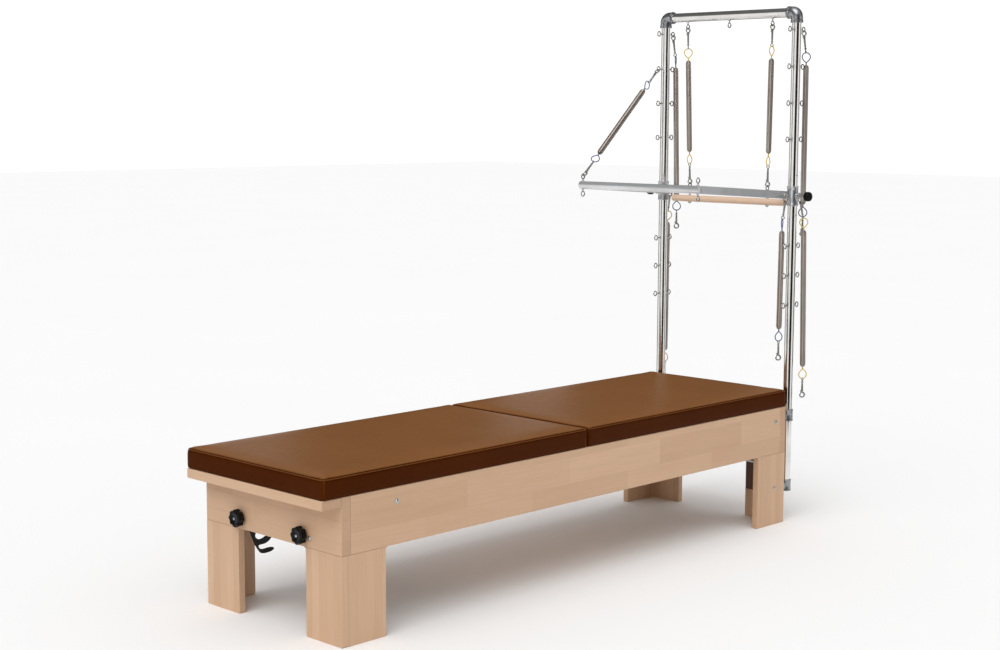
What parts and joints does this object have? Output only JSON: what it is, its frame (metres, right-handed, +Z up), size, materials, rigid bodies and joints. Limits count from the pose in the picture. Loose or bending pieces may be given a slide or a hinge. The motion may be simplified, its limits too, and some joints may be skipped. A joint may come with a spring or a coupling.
{
  "type": "pilates reformer with tower",
  "caption": "Maple pilates reformer set up as a padded mat table, with a steel spring tower, push-through bar and roll-down bar at its head end.",
  "frame": {"origin": "middle of the base of the whole machine, on the floor", "axes": "+Z up, +Y from the foot end to the tower at the head end, +X to the right of a person lying on the mat with the head at the tower"},
  "size_m": [0.8612, 2.6288, 2.1445],
  "materials": {
    "maple": "satin lacquered maple",
    "dark_wood": "dark stained hardwood",
    "dowel_wood": "sanded pale hardwood",
    "vinyl": "soft brown upholstery vinyl with a low sheen",
    "polished_steel": "polished stainless tube",
    "cast_metal": "matt cast grey metal",
    "aluminium": "satin anodised aluminium",
    "spring_steel": "dark nickel spring wire",
    "black_plastic": "moulded black plastic",
    "black_steel": "black powder coat",
    "wheel_tyre": "dark polyurethane tyre",
    "spring_yellow": "yellow coated end ring",
    "spring_blue": "blue coated end ring",
    "spring_violet": "violet coated end ring"
  },
  "bodies": {
    "frame": {"foot_end_board": "maple", "head_end_board": "maple", "side_rail_left": "maple", "side_rail_right": "maple", "foot_platform": "maple", "leg_foot_left_end": "maple", "leg_foot_left_side": "maple", "leg_foot_right_end": "maple", "leg_foot_right_side": "maple", "leg_head_left_end": "maple", "leg_head_left_side": "maple", "leg_head_right_end": "maple", "leg_head_right_side": "maple", "track_left": "aluminium", "track_right": "aluminium", "spring_bar": "black_steel", "hook_bracket_left": "black_steel", "hook_bracket_right": "black_steel", "mat_pad_foot": "vinyl", "mat_pad_head": "vinyl", "tower_upright_left": "polished_steel", "tower_upright_right": "polished_steel", "tower_elbow_left": "cast_metal", "tower_elbow_right": "cast_metal", "upright_clamp_left": "cast_metal", "upright_clamp_right": "cast_metal", "upright_foot_left": "cast_metal", "upright_foot_right": "cast_metal", "tower_block_left": "dark_wood", "tower_block_right": "dark_wood", "sleeve_left": "cast_metal", "sleeve_right": "cast_metal", "tower_crossbar": "polished_steel", "gear_spring_1": "spring_steel", "gear_spring_2": "spring_steel", "gear_spring_3": "spring_steel", "gear_spring_4": "spring_steel"},
    "push_through_bar": {"bar_tube": "aluminium", "bar_arm_left": "aluminium", "bar_arm_right": "aluminium"},
    "bar_spring": {"bar_spring": "spring_steel"},
    "bar_spring_end": {"bar_spring_hook": "polished_steel"},
    "roll_down_springs": {"roll_down_spring_left": "spring_steel", "roll_down_spring_right": "spring_steel"},
    "roll_down_bar": {"roll_down_bar": "dowel_wood"},
    "carriage": {"carriage": "maple"},
    "footbar": {"footbar": "black_steel"},
    "arm_spring_left": {"arm_spring_left": "spring_steel"},
    "arm_spring_right": {"arm_spring_right": "spring_steel"},
    "leg_spring_left_back": {"leg_spring_left_back": "spring_steel"},
    "leg_spring_right_front": {"leg_spring_right_front": "spring_steel"},
    "leg_spring_right_back": {"leg_spring_right_back": "spring_steel"},
    "plunger_left": {"plunger_left": "black_plastic"},
    "star_knob_left": {"star_knob_left": "black_plastic"},
    "plunger_right": {"plunger_right": "black_plastic"},
    "star_knob_right": {"star_knob_right": "black_plastic"},
    "carriage_wheel_left_foot": {"carriage_wheel_left_foot": "wheel_tyre"},
    "carriage_wheel_left_head": {"carriage_wheel_left_head": "wheel_tyre"},
    "carriage_wheel_right_foot": {"carriage_wheel_right_foot": "wheel_tyre"},
    "carriage_wheel_right_head": {"carriage_wheel_right_head": "wheel_tyre"}
  },
  "joints": [
    {"name": "push_bar_swing", "type": "hinge", "parent": "frame", "child": "push_through_bar", "pos_m": [0, 1.22758, 1.371], "axis": [1, 0, 0], "range_deg": [0, 60], "stiffness_Nm_per_rad": 12, "springref_deg": -51.57},
    {"name": "bar_spring_swing", "type": "hinge", "parent": "frame", "child": "bar_spring", "pos_m": [-0.3416, 1.17958, 1.898], "axis": [1, 0, 0], "range_deg": [0, 33.1]},
    {"name": "bar_spring_stretch", "type": "slide", "parent": "bar_spring", "child": "bar_spring_end", "axis": [0, -0.7638, -0.6455], "range_m": [0, 0.3425], "deforming": ["bar_spring"]},
    {"name": "roll_down_swing", "type": "hinge", "parent": "frame", "child": "roll_down_springs", "pos_m": [0, 1.22758, 2.0765], "axis": [1, 0, 0], "range_deg": [-15, 15]},
    {"name": "roll_down_pull", "type": "slide", "parent": "roll_down_springs", "child": "roll_down_bar", "axis": [0, 0, -1], "range_m": [0, 0.25], "stiffness_N_per_m": 260, "springref_m": -0.06, "deforming": ["roll_down_spring_left", "roll_down_spring_right"]},
    {"name": "arm_spring_left_swing", "type": "hinge", "parent": "frame", "child": "arm_spring_left", "pos_m": [-0.3416, 1.27558, 2.049], "axis": [1, 0, 0], "range_deg": [0, 35]},
    {"name": "arm_spring_right_swing", "type": "hinge", "parent": "frame", "child": "arm_spring_right", "pos_m": [0.3416, 1.27558, 2.049], "axis": [1, 0, 0], "range_deg": [0, 35]},
    {"name": "leg_spring_left_back_swing", "type": "hinge", "parent": "frame", "child": "leg_spring_left_back", "pos_m": [-0.3416, 1.27558, 1.368], "axis": [0, 1, 0], "range_deg": [0, 35]},
    {"name": "leg_spring_right_front_swing", "type": "hinge", "parent": "frame", "child": "leg_spring_right_front", "pos_m": [0.3416, 1.17958, 1.368], "axis": [-1, 0, 0], "range_deg": [0, 35]},
    {"name": "leg_spring_right_back_swing", "type": "hinge", "parent": "frame", "child": "leg_spring_right_back", "pos_m": [0.3416, 1.27558, 1.368], "axis": [0, -1, 0], "range_deg": [0, 35]},
    {"name": "plunger_left_pull", "type": "slide", "parent": "frame", "child": "plunger_left", "axis": [-1, 0, 0], "range_m": [0, 0.008], "stiffness_N_per_m": 900, "springref_m": -0.01},
    {"name": "plunger_right_pull", "type": "slide", "parent": "frame", "child": "plunger_right", "axis": [1, 0, 0], "range_m": [0, 0.008], "stiffness_N_per_m": 900, "springref_m": -0.01},
    {"name": "star_knob_left_turn", "type": "hinge", "parent": "frame", "child": "star_knob_left", "pos_m": [-0.166, -1.23742, 0.34], "axis": [0, 1, 0], "continuous": true},
    {"name": "star_knob_right_turn", "type": "hinge", "parent": "frame", "child": "star_knob_right", "pos_m": [0.166, -1.23742, 0.34], "axis": [0, 1, 0], "continuous": true},
    {"name": "carriage_slide", "type": "slide", "parent": "frame", "child": "carriage", "axis": [0, 1, 0], "range_m": [0, 0.7], "stiffness_N_per_m": 250, "springref_m": -0.06, "deforming": ["gear_spring_1", "gear_spring_2", "gear_spring_3", "gear_spring_4"]},
    {"name": "carriage_wheel_left_foot_roll", "type": "hinge", "parent": "carriage", "child": "carriage_wheel_left_foot", "pos_m": [-0.302, -0.43742, 0.376], "axis": [1, 0, 0], "continuous": true},
    {"name": "carriage_wheel_left_head_roll", "type": "hinge", "parent": "carriage", "child": "carriage_wheel_left_head", "pos_m": [-0.302, 0.30258, 0.376], "axis": [1, 0, 0], "continuous": true},
    {"name": "carriage_wheel_right_foot_roll", "type": "hinge", "parent": "carriage", "child": "carriage_wheel_right_foot", "pos_m": [0.302, -0.43742, 0.376], "axis": [1, 0, 0], "continuous": true},
    {"name": "carriage_wheel_right_head_roll", "type": "hinge", "parent": "carriage", "child": "carriage_wheel_right_head", "pos_m": [0.302, 0.30258, 0.376], "axis": [1, 0, 0], "continuous": true},
    {"name": "footbar_lift", "type": "hinge", "parent": "frame", "child": "footbar", "pos_m": [0, -1.00142, 0.444], "axis": [1, 0, 0], "range_deg": [0, 3]}
  ],
  "couplings": [
    {"joint": "bar_spring_swing", "follows": "push_bar_swing", "ratio": 0.54342},
    {"joint": "bar_spring_stretch", "follows": "push_bar_swing", "m_per_rad": 0.3252},
    {"joint": "carriage_wheel_left_foot_roll", "follows": "carriage_slide", "rad_per_m": -46.083},
    {"joint": "carriage_wheel_left_head_roll", "follows": "carriage_slide", "rad_per_m": -46.083},
    {"joint": "carriage_wheel_right_foot_roll", "follows": "carriage_slide", "rad_per_m": -46.083},
    {"joint": "carriage_wheel_right_head_roll", "follows": "carriage_slide", "rad_per_m": -46.083}
  ]
}
